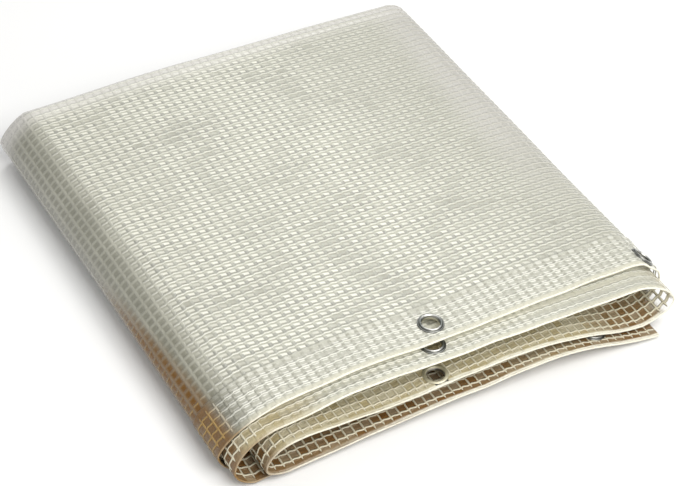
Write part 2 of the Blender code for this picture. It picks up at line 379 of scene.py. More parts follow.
# Meshes
def put_mesh(name, points, faces, cells, finish):
    """Makes the object from an array of points, one of faces and one of net coordinates,
    and leaves out the points that no face uses."""
    used, flat = np.unique(faces, return_inverse=True)
    faces = flat.reshape(faces.shape)
    points, cells = points[used], cells[used]
    mesh = bpy.data.meshes.new(name)
    mesh.vertices.add(len(points))
    mesh.vertices.foreach_set("co", points.astype(np.float32).ravel())
    mesh.loops.add(faces.size)
    mesh.loops.foreach_set("vertex_index", faces.astype(np.int32).ravel())
    mesh.polygons.add(len(faces))
    starts = np.arange(0, faces.size, faces.shape[1], dtype=np.int32)
    mesh.polygons.foreach_set("loop_start", starts)
    mesh.update(calc_edges=True)
    mesh.validate()
    mesh.polygons.foreach_set("use_smooth", np.full(len(mesh.polygons), True))
    layer = mesh.uv_layers.new(name="net")
    corner = np.zeros(len(mesh.loops), np.int32)
    mesh.loops.foreach_get("vertex_index", corner)
    layer.data.foreach_set("uv", cells[corner].astype(np.float32).ravel())
    mesh.materials.append(finish)
    mesh.update()
    piece = bpy.data.objects.new(name, mesh)
    bpy.context.scene.collection.objects.link(piece)
    return piece


def grid_faces(rows, columns, close_columns=False):
    """Quads of a grid of points stored row by row, as an array (row, column, 4)."""
    index = np.arange(rows * columns).reshape(rows, columns)
    if close_columns:
        index = np.concatenate([index, index[:, :1]], axis=1)
    return np.stack([index[:-1, :-1], index[:-1, 1:], index[1:, 1:], index[1:, :-1]], -1)


def film_mesh(name, net, finish):
    """The film behind the hem: a grid of half cells on the cloth's middle, with every cell
    bulged to its own height between the threads."""
    numbers = np.arange(math.ceil(FIRST * 2), math.floor(LAST * 2) + 1) / 2
    numbers = np.concatenate([[FIRST], numbers, [LAST]])
    most = deepest(numbers).max()
    rows = np.arange(HEM_CELLS * 2 - 1, math.ceil(most * 2) + 1) / 2
    number, row = np.meshgrid(numbers, rows, indexing="ij")
    limit = deepest(number)
    deep = np.minimum(row, limit)
    point, _, normal = cloth_frame(number, deep)
    chance = np.random.default_rng(11)
    size = chance.uniform(0.35, 1.0, number.shape)
    middle = np.abs(np.sin(np.pi * number) * np.sin(np.pi * deep))
    points = point + normal * (net.pillow * size * middle)[..., None]
    faces = grid_faces(*number.shape)
    kept = row[:-1, :-1] < limit[:-1, :-1]
    cells = np.stack([number, deep], -1)
    return put_mesh(name, points.reshape(-1, 3), faces[kept], cells.reshape(-1, 2), finish)


def tube_mesh(name, number, deep, sideways, lift, half_width, half_height, finish,
              doubled=False):
    """Flattened threads: rows are threads and columns are places along them. Each place
    carries a four-sided ring, wide along sideways and half as high along the normal. Rings
    inside an eyelet's flange, past the cloth's edge or marked as doubled are shrunk to a
    point, and the stretches between two such rings are left out."""
    point, along, normal = cloth_frame(number, deep)
    across = along if sideways == "along" else np.cross(normal, along)
    point = point + normal * lift[..., None]
    size = np.where(doubled, 0.0, np.ones(number.shape))
    size[:, [0, -1]] = 0.0
    limit = deepest(number)
    size[deep > limit - 0.05] = 0.0
    for seat in SEATS.values():
        local = seat.local(point)
        radius = np.hypot(local[..., 0], local[..., 1])
        inside = (radius < THREADS_STOP) & (np.abs(number - seat.number) < 3)
        size[inside] = 0.0
        stretch = np.where(inside, THREADS_STOP / np.maximum(radius, 1e-6), 1.0)
        local[..., :2] *= stretch[..., None]
        point = np.where(inside[..., None], seat.world(local), point)
    ring = [(1, 0), (0, 1), (-1, 0), (0, -1)]
    corners = np.stack([point + size[..., None] * (across * half_width * a
                                                   + normal * half_height * b)
                        for a, b in ring], axis=2)
    threads, places = number.shape
    index = np.arange(threads * places * 4).reshape(threads, places, 4)
    turned = np.roll(index, -1, axis=2)
    faces = np.stack([index[:, :-1], turned[:, :-1], turned[:, 1:], index[:, 1:]], -1)
    if sideways != "along":
        faces = faces[..., ::-1]
    kept = (size[:, :-1] + size[:, 1:]) > 0
    faces = faces[np.broadcast_to(kept[..., None], faces.shape[:-1])]
    cells = np.repeat(np.stack([number, deep], -1)[:, :, None], 4, axis=2)
    return put_mesh(name, corners.reshape(-1, 3), faces.reshape(-1, 4),
                    cells.reshape(-1, 2), finish)


def across_threads(name, rows, first, last, per_cell, net, finish, faces=(0.0,)):
    """Threads parallel to the hem, on the upper face, but under the film on the left wall.
    Between two crossings each slants back by a share of a cell and stands proud, and it
    dips at the crossings. faces gives the heights of the film that they lie on, and those
    below it hang under theirs."""
    low, high = max(first, FIRST + 0.1), min(last, LAST - 0.1)
    inner = np.arange(math.ceil(low * per_cell), math.floor(high * per_cell) + 1) / per_cell
    line = np.unique(np.concatenate([[low], inner, [high]]))
    number, deep = np.meshgrid(line, np.array(rows, float), indexing="xy")
    within = number - np.floor(number + 1e-6)
    crossing = np.clip(1 - 4 * np.minimum(within, 1 - within), 0, 1)
    deep = deep + net.slant * (within - 0.5) * (1 - crossing)
    deep = np.minimum(deep, deepest(number))
    lift = net.thread_height * (0.45 - 0.6 * crossing - 1.0 * left_wall(number, deep))
    lift = np.concatenate([face + np.where(face < 0, -lift, lift) for face in faces])
    number, deep = (np.concatenate([rows] * len(faces)) for rows in (number, deep))
    return tube_mesh(name, number, deep, "inward", lift,
                     net.thread_width / 2, net.thread_height / 2, finish)


def depth_threads(name, first, last, step, net, finish, faces=(0.0,)):
    """Threads from the hem towards the back edge, just under the film. Low down, but not on
    the left wall, they lie on the faces, which are heights off the middle. Elsewhere each
    face would give the same thread, so only the first one does."""
    numbers = np.arange(math.ceil(FIRST), math.floor(LAST) + 1.0)
    rows = np.arange(0, int((last - first) / step) + 1) * step + first
    number, deep = np.meshgrid(numbers, rows, indexing="ij")
    deep = np.minimum(deep, np.maximum(deepest(number), 0))
    lift = np.full(number.shape, net.thread_height * -0.62)
    low = np.clip((FACES_BELOW - cloth_point(number, deep)[..., 2]) / FACES_FADE, 0, 1)
    low *= 1 - left_wall(number, deep)
    lift = np.concatenate([lift * (1 - low) + face * low for face in faces])
    doubled = np.concatenate([(low == 0) & (index > 0) for index in range(len(faces))])
    number, deep = (np.concatenate([rows] * len(faces)) for rows in (number, deep))
    return tube_mesh(name, number, deep, "along", lift,
                     net.thread_width / 2, net.thread_height / 2, finish, doubled)


def hem_profile(hem):
    """Closed outline of the hem across its width: depth in cells and height in metres, up
    round the rolled front rim, back along the upper film, over the weld, and forward."""
    roll = hem.rim / CELL
    around = np.linspace(-0.5, 0.5, 9)[1:-1] * np.pi
    rim = [(roll - roll * math.cos(a), hem.rim * math.sin(a)) for a in around]
    upper = [(roll * 1.6, hem.rim * 0.93), (roll * 2.3, hem.thickness * 0.62)]
    flat = [(d, hem.thickness / 2) for d in np.arange(0.75, 4.7, 0.25)]
    weld = [(4.82, hem.thickness * 0.62), (4.95, hem.thickness * 0.80),
            (5.10, hem.thickness * 0.75), (5.22, hem.thickness * 0.1)]
    lower = [(d, -h) for d, h in reversed(upper + flat + weld[:-1])]
    return np.array(rim + upper + flat + weld + lower)


def hem_mesh(name, hem, finish):
    """The hem: its outline carried along the front edge, with a round hole at each eyelet
    and a shallow ripple across the welded film."""
    outline = hem_profile(hem)
    count = int((LAST - FIRST) * 4)
    line = np.linspace(FIRST, LAST, count + 1)
    number = np.repeat(line[:, None], len(outline), axis=1)
    deep = np.repeat(outline[None, :, 0], len(line), axis=0)
    off = np.repeat(outline[None, :, 1], len(line), axis=0)
    point, _, normal = cloth_frame(number, deep)
    chance = np.random.default_rng(5)
    ripple = chance.normal(0.0, 0.00010, number.shape)
    away = np.ones(number.shape, bool)
    points = point + normal * (off + ripple)[..., None]
    for seat in SEATS.values():
        local = seat.local(points)
        radius = np.hypot(local[..., 0], local[..., 1])
        near = np.abs(number - seat.number) < 3
        inside = near & (radius < HEM_HOLE)
        edge = near & (radius >= HEM_HOLE) & (radius < HEM_HOLE_RIM)
        away &= ~inside
        stretch = np.where(edge, HEM_HOLE / np.maximum(radius, 1e-6), 1.0)
        local[..., :2] *= stretch[..., None]
        points = np.where(edge[..., None], seat.world(local), points)
    faces = grid_faces(*number.shape, close_columns=True)
    shifted = np.concatenate([away, away[:, :1]], axis=1)
    kept = shifted[:-1, :-1] & shifted[:-1, 1:] & shifted[1:, 1:] & shifted[1:, :-1]
    cells = np.stack([number, deep], -1)
    return put_mesh(name, points.reshape(-1, 3), faces[kept], cells.reshape(-1, 2), finish)


def eyelet_outline(eye):
    """Closed outline of half an eyelet, radius and height off the hem's middle: a rolled
    collar round the hole, a groove, a domed flange with a turned edge, then the barrel and
    the flat washer on the other face."""
    hole, flange, seat = eye.hole_radius, eye.flange_radius, eye.seat
    tube = 0.0012
    roll = [(hole + tube - tube * math.cos(a), seat + 0.0009 + tube * math.sin(a))
            for a in np.linspace(0.0, math.pi * 0.96, 11)]
    dome = [(hole + 0.0026, seat + 0.00035), (flange - 0.0009, seat + 0.0007),
            (flange - 0.0004, seat + 0.00062), (flange - 0.0001, seat + 0.0004),
            (flange, seat + 0.0001), (flange - 0.0003, seat - 0.0001)]
    inner = [(hole + 0.0006, seat - 0.0001), (hole + 0.0006, -seat + 0.0001)]
    washer = [(flange - 0.0006, -seat + 0.0001), (flange - 0.0003, -seat - 0.0002),
              (flange - 0.0006, -seat - 0.0006), (hole + 0.0016, -seat - 0.0008),
              (hole + 0.0009, -seat - 0.0010), (hole + 0.0004, -seat - 0.0009),
              (hole, -seat - 0.0004)]
    return np.array(roll + dome + inner + washer)


def eyelet_mesh(name, seat, eye, finish, steps=72):
    """One eyelet: its outline turned about the seat's axis."""
    outline = eyelet_outline(eye)
    angle = 2 * np.pi * np.arange(steps) / steps
    radius, height = outline[None, :, 0], outline[None, :, 1]
    local = np.stack([radius * np.cos(angle)[:, None], radius * np.sin(angle)[:, None],
                      np.repeat(height, steps, axis=0)], -1)
    points = seat.world(local)
    rows = len(outline)
    index = np.arange(steps * rows).reshape(steps, rows)
    ahead, beside = np.roll(index, -1, axis=0), np.roll(index, -1, axis=1)
    both = np.roll(ahead, -1, axis=1)
    faces = np.stack([index, beside, both, ahead], -1)
    cells = np.zeros((steps, rows, 2))
    cells[..., 0] = angle[:, None] / (2 * np.pi)
    cells[..., 1] = radius * 1000 + np.where(height < 0, 20, 0)
    return put_mesh(name, points.reshape(-1, 3), faces.reshape(-1, 4),
                    cells.reshape(-1, 2), finish)


# Finishes
class Wire:
    """One socket of a node tree. Its operators add the Math node for each sum."""

    def __init__(self, socket):
        self.socket = socket

    def other(self, name):
        """Another output of the same node."""
        return Wire(self.socket.node.outputs[name])

    def sum(self, operation, first, second):
        return maths(self.socket.id_data, operation, first, second)

    def __add__(self, value):
        return self.sum("ADD", self, value)

    def __radd__(self, value):
        return self.sum("ADD", value, self)

    def __sub__(self, value):
        return self.sum("SUBTRACT", self, value)

    def __rsub__(self, value):
        return self.sum("SUBTRACT", value, self)

    def __mul__(self, value):
        return self.sum("MULTIPLY", self, value)

    def __rmul__(self, value):
        return self.sum("MULTIPLY", value, self)

    def __truediv__(self, value):
        return self.sum("DIVIDE", self, value)


def node(tree, kind, settings=None, inputs=None, output=0):
    """Adds a node, sets its settings first and then its sockets' values or links, and
    returns one of its outputs."""
    made = tree.nodes.new(kind)
    for key, value in (settings or {}).items():
        setattr(made, key, value)
    for key, value in (inputs or {}).items():
        socket = made.inputs[key]
        if isinstance(value, Wire):
            tree.links.new(value.socket, socket)
        else:
            socket.default_value = (*value, 1.0) if socket.type == "RGBA" else value
    return Wire(made.outputs[output])


def maths(tree, operation, *values):
    """Math node over the values."""
    return node(tree, "ShaderNodeMath", {"operation": operation}, dict(enumerate(values)))


def noise(tree, place, scale, detail, roughness=0.5, dimensions="2D"):
    """Cloudy noise over the place."""
    return node(tree, "ShaderNodeTexNoise", {"noise_dimensions": dimensions}, {
        "Vector": place, "Scale": scale, "Detail": detail, "Roughness": roughness})


def cell_noise(tree, place):
    """One random value for each cell of the net."""
    cell = node(tree, "ShaderNodeVectorMath", {"operation": "FLOOR"}, {0: place})
    return node(tree, "ShaderNodeTexWhiteNoise", {"noise_dimensions": "2D"}, {"Vector": cell})


def bump(tree, strength, distance, height):
    """Normal bent by the height."""
    return node(tree, "ShaderNodeBump", None, {
        "Strength": strength, "Distance": distance, "Height": height})


def ramp_down(tree, value, near, far):
    """1 below near, 0 above far, and a smooth step between."""
    return node(tree, "ShaderNodeMapRange", {"interpolation_type": "SMOOTHSTEP"},
                {"Value": value, "From Min": near, "From Max": far,
                 "To Min": 1.0, "To Max": 0.0})


def ramp_up(tree, value, low, high):
    """0 below low, 1 above high, and a smooth step between."""
    return 1.0 - ramp_down(tree, value, low, high)


def mixed(tree, factor, first, second):
    """Colour mixed from the first to the second by the factor."""
    return node(tree, "ShaderNodeMix", {"data_type": "RGBA"}, {0: factor, 6: first, 7: second}, 2)


def over(tree, colour, *coats):
    """Colour with further ones mixed over it in turn, each coat a factor and a colour."""
    for factor, coat in coats:
        colour = mixed(tree, factor, colour, coat)
    return colour


def new_finish(name, **constants):
    """Material whose Principled shader has the given constant sockets."""
    made = bpy.data.materials.new(name)
    made.use_nodes = True
    shader = made.node_tree.nodes["Principled BSDF"]
    for key, value in constants.items():
        shader.inputs[key.replace("_", " ")].default_value = value
    return made, made.node_tree, shader


def feed(tree, shader, **wires):
    """Links values to the shader's sockets, with underscores for the spaces."""
    for key, wire in wires.items():
        tree.links.new(wire.socket, shader.inputs[key.replace("_", " ")])


def net_place(tree):
    """The net coordinates: both together, then the thread number along the hem, and the
    depth, in cells."""
    place = node(tree, "ShaderNodeUVMap", {"uv_map": "net"})
    cells = node(tree, "ShaderNodeSeparateXYZ", None, {"Vector": place})
    return place, cells, cells.other("Y")


def own_place(tree):
    """The piece's own coordinates in metres, split into X, Y and Z."""
    place = node(tree, "ShaderNodeTexCoord").other("Object")
    return node(tree, "ShaderNodeSeparateXYZ", None, {"Vector": place})


def from_line(tree, cells):
    """Distance in cells to the nearest whole number, by a triangle wave."""
    return maths(tree, "PINGPONG", cells, 0.5)


def far_side_shade(tree, world):
    """Mask of painted shade on the outer wrap towards the right and the back, where less light
    falls.
    """
    return ramp_up(tree, world.other("X") + 0.12 * world.other("Y"), 0.02, 0.19)


def right_edge(tree, cells, deep, world):
    """Mask of the cloudy film that turns down at the right, which widens to the back."""
    return ramp_down(tree, cells + 0.05 * deep, -20.0, -15.0) \
        * ramp_up(tree, cells, *WRAP_START) * ramp_up(tree, world.other("Y"), -0.16, 0.06)


def low_masks(tree, cells, world):
    """Masks of the layers inside the packet, which are all but the outer wrap, and of those next
    to the floor. On them the finishes lay painted shade and a painted reflection of the brown
    surface below, warmer and browner next to the floor."""
    left = maths(tree, "MINIMUM", world.other("X") + 0.10, 0.0)
    height = world.other("Z") + 0.15 * left
    inner = ramp_down(tree, cells, *WRAP_START)
    inside = maths(tree, "MAXIMUM", inner * ramp_down(tree, height, 0.034, 0.052),
                   ramp_up(tree, cells, *BASE_START))
    return inside, inner * ramp_down(tree, height, 0.012, 0.027)


def wall_masks(tree, cells, deep):
    """Masks of the left wall, which the finishes darken with painted shade, and of its rust-brown
    foot, partly a painted reflection of the brown surface below, which widens towards the front.
    """
    wall = ramp_up(tree, cells, WALL[0] - 0.5, WALL[1] + 0.5) \
        * ramp_down(tree, cells, WALL[2] - 2, WALL[2])
    foot = ramp_up(tree, cells - 0.09 * deep, 24.0, 25.8) * wall
    return wall, foot * ramp_down(tree, deep, 16.0, 30.0) \
        * (1.0 - 0.45 * ramp_up(tree, cells, 27.0, 30.0))


def corner_shadow_mask(tree, side, deep):
    """How far back a point is in its cell, and a mask of painted shadow: a dull square just behind
    each thread that the thread from the hem passes under."""
    forward = maths(tree, "FRACT", deep)
    corner_shadow = ramp_down(tree, side, 0.15, 0.30) * ramp_up(tree, forward, 0.05, 0.16) \
        * ramp_down(tree, forward, 0.48, 0.72)
    return forward, corner_shadow


def glint_dash(tree, cells, side, forward):
    """Mask of a painted highlight: the bright dash in the middle of each cell, slanted like the
    threads.
    """
    within = maths(tree, "FRACT", cells)
    slanted = forward - 0.22 * (within - 0.5)
    return ramp_up(tree, side, 0.06, 0.20) * ramp_up(tree, slanted, 0.27, 0.40) \
        * ramp_down(tree, slanted, 0.58, 0.76)


def film_finish(film):
    """Clear glossy film: nearly see-through, milk-white where it is creased, tented over the
    threads, with a painted highlight as a brighter dash in the middle of each cell and painted
    shadow as dull squares at crossings. Painted shade greys it towards the right and the back
    and darkens the left wall, where its threads show as soft bands. The wall's foot is
    rust-brown, partly a painted reflection of the brown surface below. Inside the packet painted
    shade and a painted reflection of that brown make it warmer, and it is cloudy at the back
    and right edges."""
    made, tree, shader = new_finish("clear_film", Metallic=0.0, IOR=1.46)
    place, cells, deep = net_place(tree)
    side, row = from_line(tree, cells), from_line(tree, deep)
    own = cell_noise(tree, place)
    patch = noise(tree, place, 0.16, 3.0, 0.55)
    crinkle = noise(tree, place, 2.3, 3.0, 0.6)
    ridge = maths(tree, "MAXIMUM", ramp_down(tree, row, 0.07, 0.30),
                  ramp_down(tree, side, 0.05, 0.22))
    forward, corner = corner_shadow_mask(tree, side, deep)
    dash = glint_dash(tree, cells, side, forward)
    world = own_place(tree)
    low, lowest = low_masks(tree, cells, world)
    wall, foot = wall_masks(tree, cells, deep)
    back = ramp_up(tree, world.other("Y"), 0.215, 0.247)
    edge = right_edge(tree, cells, deep, world)
    # Painted shade towards the right and the back: greys the film and dims its painted highlights.
    far_shade = far_side_shade(tree, world)
    plain = (1.0 - wall) * (1.0 - back * 0.8) * (1.0 - edge * 0.8)
    glint = dash * ramp_up(tree, own * 0.4 + patch, 0.20, 0.80) * (1.0 - far_shade * 0.4) * plain
    bands = maths(tree, "MAXIMUM", ramp_down(tree, side, 0.0, 0.36),
                  0.8 * ramp_down(tree, row, 0.0, 0.32))
    banded = over(tree, film.wall, (ramp_up(tree, cells, 25.5, 28.5), film.wall_low),
                  (ramp_down(tree, deep, 8.0, 26.0) * 0.9, film.wall_front),
                  (bands * (0.10 + 0.38 * patch), film.wall_band))
    warm = 0.65 + 0.3 * own
    # Painted light among these coats: the glint dash, the corner shadow, shade at the right and
    # back and on the left wall, and inside the packet shade and the brown from below.
    coloured = over(
        tree, film.milky_and_shaded, (patch * (1.0 - 0.9 * far_shade), film.colour), (glint * 0.9, film.glint),
        (corner * plain * (0.65 + 0.4 * own) * (1.0 - far_shade * 0.2), film.corner_shadow),
        (wall * (0.75 + 0.25 * crinkle), banded), (edge * 0.8, film.edge),
        (back * 0.8, film.cloud), (low * warm, film.low), (lowest * warm, film.lowest),
        (foot * (1.0 - 0.35 * bands), film.foot))
    feed(tree, shader,
         Base_Color=coloured,
         Alpha=film.cover + (glint + corner * plain + wall + back + edge + low) * (0.9 - film.cover)
         + ridge * 0.15 + foot,
         Roughness=0.16 + 0.22 * crinkle,
         Normal=bump(tree, 0.9, 0.0007, ridge * 0.8 + crinkle * 0.55 + own * 0.15))
    return made


def thread_finish(name, thread):
    """White twisted thread: bright, with painted shade where two threads cross and towards the
    right and the back, greyer in the cloudy right edge, dimmed on the left wall by its film and
    by painted shade, rust-brown at the wall's foot, partly a painted reflection of the brown
    surface below, creamier and darker inside the packet from painted shade and that painted
    brown, with a fine twist along it."""
    made, tree, shader = new_finish(name, Metallic=0.0, IOR=1.46, Roughness=0.32)
    place, cells, deep = net_place(tree)
    # Painted shade where two threads cross.
    crossing_shade = ramp_down(tree, from_line(tree, cells), 0.10, 0.26) \
        * ramp_down(tree, from_line(tree, deep), 0.08, 0.24)
    patch = noise(tree, place, 0.55, 2.0)
    twist = noise(tree, place, 7.0, 2.0)
    wall, foot = wall_masks(tree, cells, deep)
    world = own_place(tree)
    low = low_masks(tree, cells, world)[0]
    # On the left wall the film veils the threads and painted shade darkens them.
    veiled = wall * (0.6 + 0.35 * ramp_up(tree, deep, 4.0, 7.0)) * (1.15 - 0.4 * patch)
    # Painted light among these coats: shade at crossings, at the right and back, on the left wall
    # and inside the packet, and the brown from below.
    coloured = over(
        tree, thread.shade, (patch * (1.0 - 0.9 * far_side_shade(tree, world)), thread.colour),
        (low * 0.9, thread.low), (crossing_shade * thread.knot_shade * (1.0 - low), thread.crossing_shade),
        (right_edge(tree, cells, deep, world) * 0.7, thread.edge), (veiled, thread.wall),
        (foot * 0.95, thread.foot))
    feed(tree, shader,
         Base_Color=coloured,
         Normal=bump(tree, 0.5, 0.0004, twist))
    return made


def hem_finish(hem):
    """Welded hem: a bright thin rim, a cream lip behind it, then film that is see-through between
    the threads of its two layers, with painted highlights as wet-looking dashes, painted shadow
    in squares at crossings, and a broken row of painted sparkles along the weld. On the left
    wall it has painted shade, and a rust-brown foot that is partly a painted reflection of the
    brown surface below. The lower layers are warmer, from painted shade and a painted
    reflection of that brown, with a wider rim that is brown at the left loops. The second
    layer is plainer to the right and gives off a little light, which stands for what the
    layer above lets through. The open loop at the right end is almost clear."""
    made, tree, shader = new_finish("welded_hem", Metallic=0.0, IOR=1.46, Emission_Strength=1.0)
    place, cells, deep = net_place(tree)
    side, row = from_line(tree, cells), from_line(tree, deep)
    own = cell_noise(tree, place)
    crinkle = noise(tree, place, 1.9, 4.0, 0.62)
    drawn = node(tree, "ShaderNodeVectorMath", {"operation": "MULTIPLY"}, {
        0: place, 1: (0.25, 3.0, 1.0)})
    streak = noise(tree, drawn, 1.3, 3.0)
    ridge = maths(tree, "MAXIMUM", ramp_down(tree, row, 0.06, 0.26),
                  ramp_down(tree, side, 0.05, 0.20))
    rim = ramp_down(tree, deep + 0.14 * streak, 0.12, 0.26)
    lip = ramp_down(tree, deep, 0.40, 0.85)
    weld = ramp_up(tree, deep, 4.62, 4.78)
    # Painted sparkles picked at random along the weld.
    weld_sparkle = ramp_up(tree, side, 0.10, 0.26) * ramp_up(tree, own * 0.7 + crinkle, 0.75, 1.05)
    forward, corner = corner_shadow_mask(tree, side, 2.0 * deep)
    dash = glint_dash(tree, cells, side, forward) * (1.0 - lip) * (1.0 - weld)
    world = own_place(tree)
    low, lowest = low_masks(tree, cells, world)
    wall, foot = wall_masks(tree, cells, deep)
    end = ramp_up(tree, world.other("X"), 0.200, 0.214) * ramp_down(tree, deep, 4.4, 5.0) \
        * ramp_up(tree, world.other("Z"), 0.010, 0.018) \
        * ramp_down(tree, world.other("Z"), 0.040, 0.046)
    second = ramp_down(tree, cells, *SECOND_END) * ramp_up(tree, cells, *SECOND_START)
    calm = second * ramp_up(tree, world.other("X"), 0.05, 0.13)
    glint = dash * ramp_up(tree, own * 0.4 + crinkle, 0.30, 0.85) * (1.0 - calm * 0.7)
    edging = maths(tree, "MAXIMUM", rim * (0.55 + 0.45 * crinkle),
                   low * ramp_down(tree, deep + 0.25 * streak, 0.36, 0.62)
                   * (0.2 + 0.65 * ramp_up(tree, world.other("X"), -0.13, -0.02)))
    loops = ramp_down(tree, world.other("X"), -0.205, -0.15) \
        * ramp_down(tree, world.other("Z"), 0.040, 0.054)
    turned = mixed(tree, loops * (0.55 + 0.75 * streak), hem.rim_colour, hem.rim_loop)
    through = second * ramp_up(tree, deep, 1.3, 2.3)
    hiding = rim + edging + lip * 0.5 + glint * 0.6 + corner * 0.3 + low * 0.6 + foot
    warm = 0.60 + 0.35 * own
    # Painted light among these coats: the glint dashes, the weld sparkles, the corner shadow, shade
    # on the left wall, and inside the packet shade and the brown from below.
    coloured = over(
        tree, hem.shade, (crinkle * (1.0 - calm), hem.colour), (lip * 0.6, hem.lip),
        (glint * 0.9, hem.bright),
        (corner * (1.0 - lip) * (0.6 + 0.4 * own) * (1.0 - calm * 0.7), hem.corner_shadow),
        (weld * weld_sparkle * 0.8, hem.bright), (wall * 0.8, hem.wall), (low * warm, hem.low),
        (lowest * warm, hem.lowest), (foot * 0.85, hem.foot), (edging, turned))
    feed(tree, shader,
         Base_Color=coloured,
         Emission_Color=mixed(tree, through, (0.0, 0.0, 0.0), hem.through),
         Alpha=(hem.cover + hiding * (1.0 - hem.cover)) * (1.0 - end * (1.0 - rim) * 0.92),
         Roughness=0.16 + 0.22 * crinkle - 0.08 * low,
         Normal=bump(tree, 0.9, 0.0007, ridge * 0.6 + crinkle * (0.8 + 1.3 * low)
                     + weld * own * 0.5 + lip * streak))
    return made


def metal_finish(metal):
    """Nickel plate with a painted reflection round the ring: dark at two opposite sides and bright
    between them, darker on the flange. Painted shade darkens the groove behind the rolled
    collar and the turned edge, and the washer is dull. The UV map holds the turn about the
    axis, and the radius in millimetres, with 20 more than that on the washer's side."""
    made, tree, shader = new_finish("nickel_plate", Metallic=1.0)
    place = node(tree, "ShaderNodeTexCoord").other("Object")
    haze = noise(tree, place, 160.0, 2.0, dimensions="3D")
    _, turn, radius = net_place(tree)
    # Painted reflection: bright at two opposite sides of the ring and dark at the two between.
    sheen = maths(tree, "ABSOLUTE", maths(tree, "SINE", math.tau * (turn - 0.076)))
    # Painted shade in the groove behind the collar and at the turned edge.
    groove = ramp_up(tree, radius, 9.7, 10.3) * ramp_down(tree, radius, 10.6, 11.1)
    edge = ramp_up(tree, radius, 11.2, 11.7) * ramp_down(tree, radius, 12.0, 14.0)
    washer = ramp_up(tree, radius, 20.0, 24.0)
    flange = ramp_up(tree, radius, 10.0, 10.8) * ramp_down(tree, radius, 12.0, 14.0)
    coloured = over(
        tree, metal.dull, (ramp_up(tree, sheen + haze * 0.3, 0.45, 1.05), metal.colour),
        (flange * (0.9 - 0.5 * sheen), metal.dull), ((groove + edge) * 0.8, metal.groove),
        (washer * 0.85, metal.washer))
    feed(tree, shader,
         Base_Color=coloured,
         Roughness=0.26 + 0.14 * haze + 0.20 * washer)
    return made


def floor_finish(stage):
    """Plain pale floor."""
    made, tree, shader = new_finish("pale_floor", Roughness=0.7)
    place = node(tree, "ShaderNodeTexCoord").other("Object")
    grain = noise(tree, place, 3.0, 2.0, dimensions="3D")
    feed(tree, shader, Base_Color=mixed(tree, grain * 0.04, stage.floor, (1.0, 1.0, 1.0)))
    return made


# Settings
def length(name, description, default):
    return bpy.props.FloatProperty(name=name, description=description, default=default,
                                   subtype="DISTANCE", unit="LENGTH", precision=5)


def colour(name, description, default):
    return bpy.props.FloatVectorProperty(name=name, description=description, size=3,
                                         default=default, min=0.0, max=1.0, subtype="COLOR")


def share(name, description, default):
    return bpy.props.FloatProperty(name=name, description=description, default=default,
                                   min=0.0, max=1.0, subtype="FACTOR")


def power(name, description, default):
    return bpy.props.FloatProperty(name=name, description=description, default=default,
                                   min=0.0, max=500.0, subtype="POWER", unit="POWER")


class TarpNetSettings(bpy.types.PropertyGroup):
    thread_width: length("Thread width", "Width of a flattened thread", 0.0021)
    thread_height: length("Thread height", "Thickness of a flattened thread", 0.0005)
    pillow: length("Pillow", "How far the film bulges between threads", 0.00035)
    slant: share("Slant", "How far a thread slants back between crossings, in cells", 0.22)
    colour: colour("Thread", "Lit side of the threads", (0.97, 0.965, 0.87))
    # Greyer stretches at random, and painted shade towards the right and the back.
    shade: colour("Thread shade", "Duller stretches of thread", (0.66, 0.655, 0.575))
    # Painted shade where two threads cross, and how much it darkens them.
    crossing_shade: colour("Crossing", "Where two threads cross", (0.58, 0.58, 0.51))
    knot_shade: share("Crossing shade", "How much a crossing darkens", 0.65)
    # Thread on the left wall: veiled by its film and darkened by painted shade.
    wall: colour("Wall thread", "Thread seen through the left wall's film", (0.30, 0.295, 0.25))
    edge: colour("Edge thread", "Thread in the cloudy right edge", (0.60, 0.58, 0.53))
    # Rust-brown at the wall's foot, partly a painted reflection of the brown surface below.
    foot: colour("Foot thread", "Thread at the wall's rusty foot", (0.34, 0.21, 0.06))
    # Painted shade and a painted reflection of the brown surface below, inside the packet.
    low: colour("Low thread", "Thread inside the packet", (0.66, 0.61, 0.46))


class TarpFilmSettings(bpy.types.PropertyGroup):
    colour: colour("Film", "Film in the cells", (0.71, 0.705, 0.59))
    # Greyer film: patches at random, and painted shade towards the right and the back.
    milky_and_shaded: colour("Milky film", "Greyer patches of film", (0.535, 0.53, 0.452))
    # Painted highlight: the bright dash in a cell's middle.
    glint: colour("Cell middle", "Bright dash in a cell", (0.90, 0.89, 0.79))
    # Painted shadow in the square behind each crossing.
    corner_shadow: colour("Corner", "Dull square at a cell's corner", (0.36, 0.36, 0.315))
    # Painted shade of the left wall, which faces away from the light: darkest at its front and
    # lighter low down. The wall band is its threads showing through the film.
    wall: colour("Left wall", "Darker film of the left wall", (0.225, 0.222, 0.178))
    wall_front: colour("Front of the wall", "Film at the wall's front", (0.165, 0.157, 0.112))
    wall_band: colour("Wall band", "Thread under the film of the left wall", (0.60, 0.592, 0.51))
    wall_low: colour("Lower wall", "Film low on the left wall", (0.33, 0.32, 0.29))
    # Rust-brown at the wall's foot, partly a painted reflection of the brown surface below.
    foot: colour("Wall's foot", "Rusty foot of the left wall", (0.17, 0.075, 0.006))
    cloud: colour("Back edge", "Cloudy film at the back edge", (0.66, 0.64, 0.61))
    edge: colour("Right edge", "Cloudy film along the right edge", (0.52, 0.505, 0.475))
    # Painted shade and a painted reflection of the brown surface below, inside the packet and next
    # to the floor.
    low: colour("Low film", "Warmer film in the lower layers", (0.44, 0.37, 0.22))
    lowest: colour("Lowest film", "Brown film next to the floor", (0.22, 0.12, 0.04))
    cover: share("Cover", "How much a layer of film hides", 0.62)


